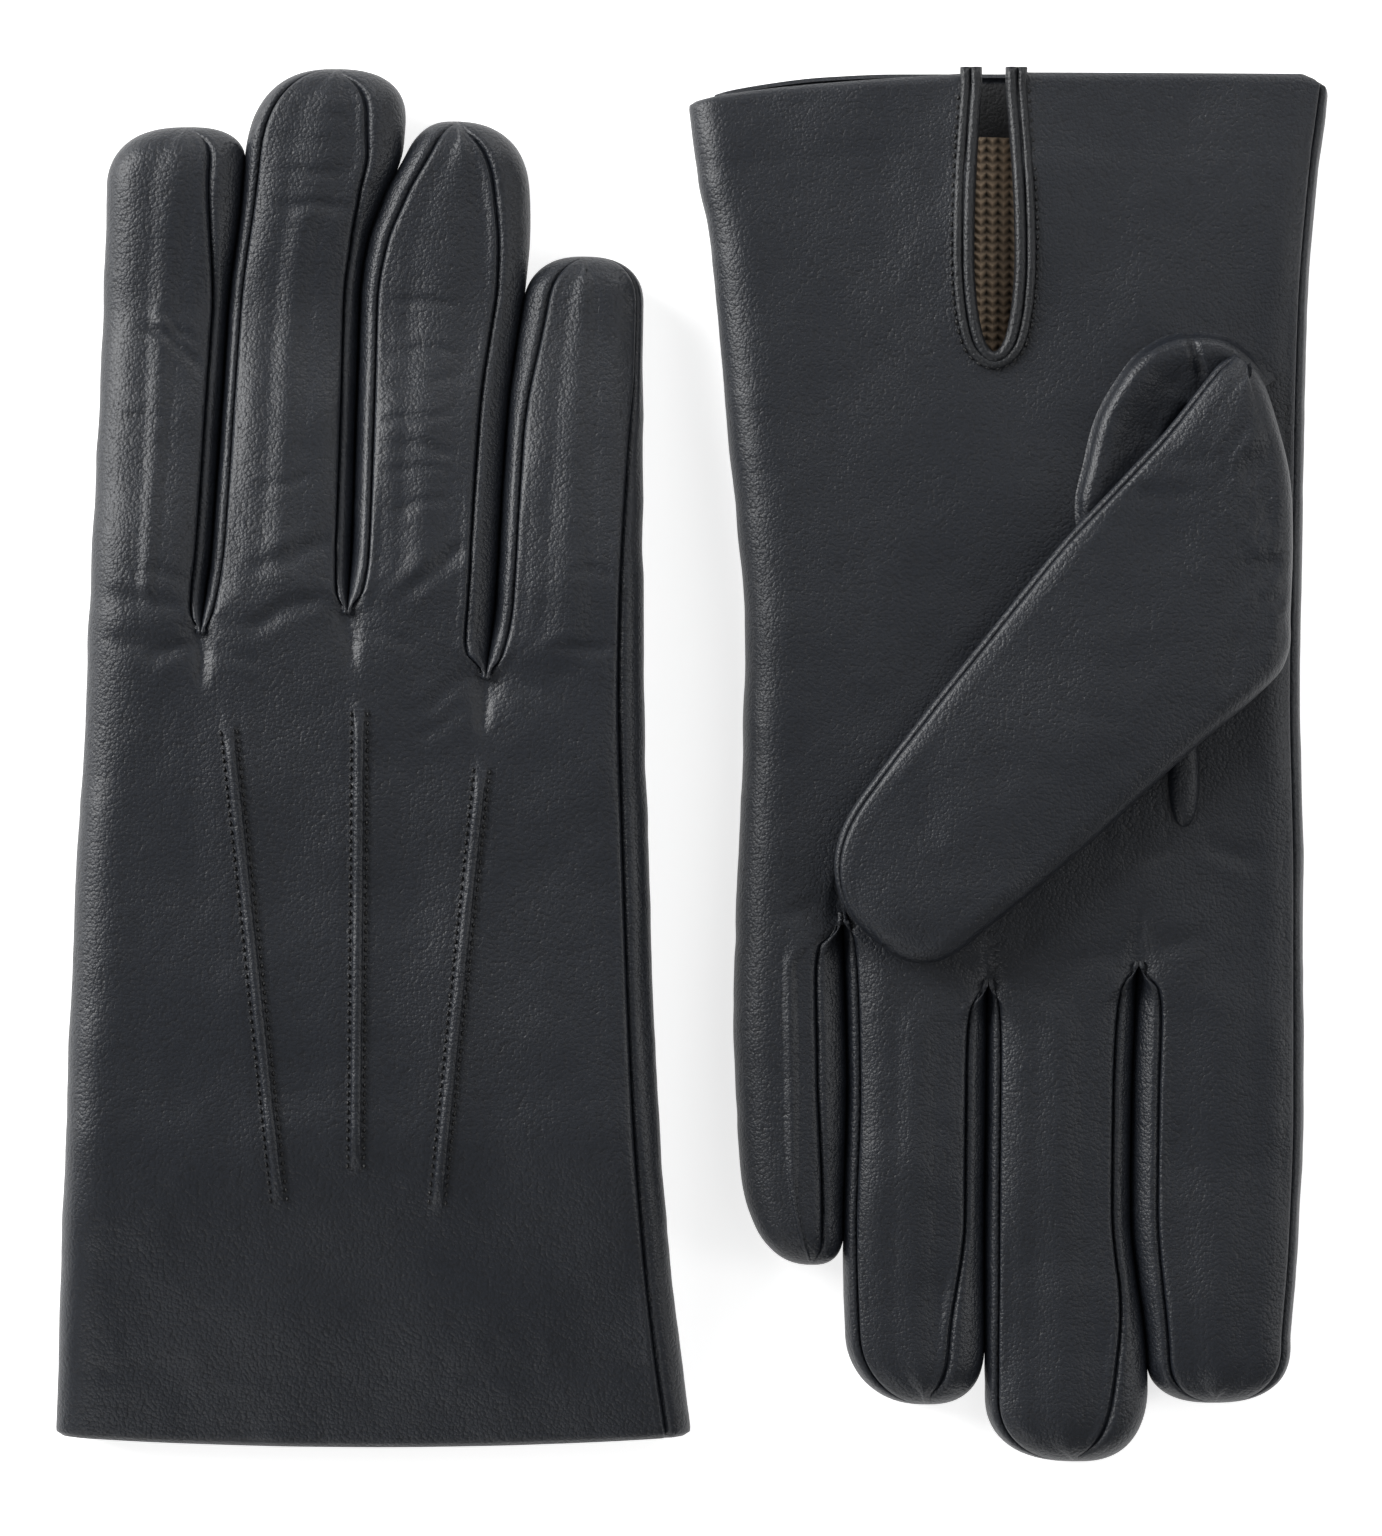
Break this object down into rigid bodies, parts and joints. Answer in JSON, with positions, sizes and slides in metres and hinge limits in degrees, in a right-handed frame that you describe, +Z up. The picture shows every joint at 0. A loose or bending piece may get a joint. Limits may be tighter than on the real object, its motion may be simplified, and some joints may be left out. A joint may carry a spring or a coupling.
{
  "type": "leather gloves",
  "caption": "Pair of lined leather dress gloves with raised points on the back, a bound palm vent and set-in thumbs, fingers that curl.",
  "frame": {"origin": "middle of the pair's bounding box, at the surface the gloves lie on", "axes": "+Z up from the surface; +Y along the gloves, the way the right glove's fingers point; +X from the right glove to the left glove"},
  "size_m": [0.228, 0.2488, 0.024],
  "materials": {
    "glove_leather": "smooth aniline lambskin, satin, fine pebble grain",
    "facing_leather": "matte leather turn-in at the cuff",
    "binding_leather": "rolled leather strip, satin",
    "knit_lining": "brown ribbed wool knit",
    "thread": "black polyester thread"
  },
  "bodies": {
    "left_hand": {"left_back_panel": "glove_leather", "left_palm_panel": "glove_leather", "left_hand_lining": "knit_lining", "left_cuff_facing": "facing_leather", "left_vent_edge": "binding_leather", "left_vent_binding": "binding_leather", "left_vent_stitching": "thread", "left_point_stitching": "thread", "left_thumb_gusset": "glove_leather"},
    "left_index": {"left_index_back": "glove_leather", "left_index_palm": "glove_leather", "left_index_fourchettes": "glove_leather", "left_index_lining": "knit_lining"},
    "left_middle": {"left_middle_back": "glove_leather", "left_middle_palm": "glove_leather", "left_middle_fourchettes": "glove_leather", "left_middle_lining": "knit_lining"},
    "left_ring": {"left_ring_back": "glove_leather", "left_ring_palm": "glove_leather", "left_ring_fourchettes": "glove_leather", "left_ring_lining": "knit_lining"},
    "left_little": {"left_little_back": "glove_leather", "left_little_palm": "glove_leather", "left_little_fourchettes": "glove_leather", "left_little_lining": "knit_lining"},
    "left_thumb": {"left_thumb_front": "glove_leather", "left_thumb_back": "glove_leather", "left_thumb_lining": "knit_lining"},
    "right_hand": {"right_back_panel": "glove_leather", "right_palm_panel": "glove_leather", "right_hand_lining": "knit_lining", "right_cuff_facing": "facing_leather", "right_vent_edge": "binding_leather", "right_vent_binding": "binding_leather", "right_vent_stitching": "thread", "right_point_stitching": "thread", "right_thumb_gusset": "glove_leather"},
    "right_index": {"right_index_back": "glove_leather", "right_index_palm": "glove_leather", "right_index_fourchettes": "glove_leather", "right_index_lining": "knit_lining"},
    "right_middle": {"right_middle_back": "glove_leather", "right_middle_palm": "glove_leather", "right_middle_fourchettes": "glove_leather", "right_middle_lining": "knit_lining"},
    "right_ring": {"right_ring_back": "glove_leather", "right_ring_palm": "glove_leather", "right_ring_fourchettes": "glove_leather", "right_ring_lining": "knit_lining"},
    "right_little": {"right_little_back": "glove_leather", "right_little_palm": "glove_leather", "right_little_fourchettes": "glove_leather", "right_little_lining": "knit_lining"},
    "right_thumb": {"right_thumb_front": "glove_leather", "right_thumb_back": "glove_leather", "right_thumb_lining": "knit_lining"}
  },
  "joints": [
    {"name": "left_index_curl", "type": "hinge", "parent": "left_hand", "child": "left_index", "pos_m": [0.09457, -0.0355, 0.0145], "axis": [-1, 0, 0], "range_deg": [0, 80]},
    {"name": "left_middle_curl", "type": "hinge", "parent": "left_hand", "child": "left_middle", "pos_m": [0.06651, -0.039, 0.0145], "axis": [-1, 0, 0], "range_deg": [0, 80]},
    {"name": "left_ring_curl", "type": "hinge", "parent": "left_hand", "child": "left_ring", "pos_m": [0.04026, -0.039, 0.0145], "axis": [-1, 0, 0], "range_deg": [0, 80]},
    {"name": "left_little_curl", "type": "hinge", "parent": "left_hand", "child": "left_little", "pos_m": [0.01744, -0.0275, 0.0145], "axis": [-1, 0, 0], "range_deg": [0, 80]},
    {"name": "left_thumb_unfold", "type": "hinge", "parent": "left_hand", "child": "left_thumb", "pos_m": [0.107, 0.0408, 0.01465], "axis": [0, 1, 0], "range_deg": [0, 110]},
    {"name": "right_index_curl", "type": "hinge", "parent": "right_hand", "child": "right_index", "pos_m": [-0.09621, 0.0355, 0.0093], "axis": [-1, 0, 0], "range_deg": [0, 80]},
    {"name": "right_middle_curl", "type": "hinge", "parent": "right_hand", "child": "right_middle", "pos_m": [-0.07291, 0.039, 0.0093], "axis": [-1, 0, 0], "range_deg": [0, 80]},
    {"name": "right_ring_curl", "type": "hinge", "parent": "right_hand", "child": "right_ring", "pos_m": [-0.0472, 0.039, 0.0093], "axis": [-1, 0, 0], "range_deg": [0, 80]},
    {"name": "right_little_curl", "type": "hinge", "parent": "right_hand", "child": "right_little", "pos_m": [-0.0217, 0.0275, 0.0093], "axis": [-0.9968, 0.08, 0], "range_deg": [0, 80]},
    {"name": "right_thumb_unfold", "type": "hinge", "parent": "right_hand", "child": "right_thumb", "pos_m": [-0.107, -0.0408, 0.00915], "axis": [0, 1, 0], "range_deg": [0, 110]},
    {"name": "right_glove_lift", "type": "slide", "parent": "left_hand", "child": "right_hand", "axis": [0, 0, 1], "range_m": [0, 0.15]}
  ]
}
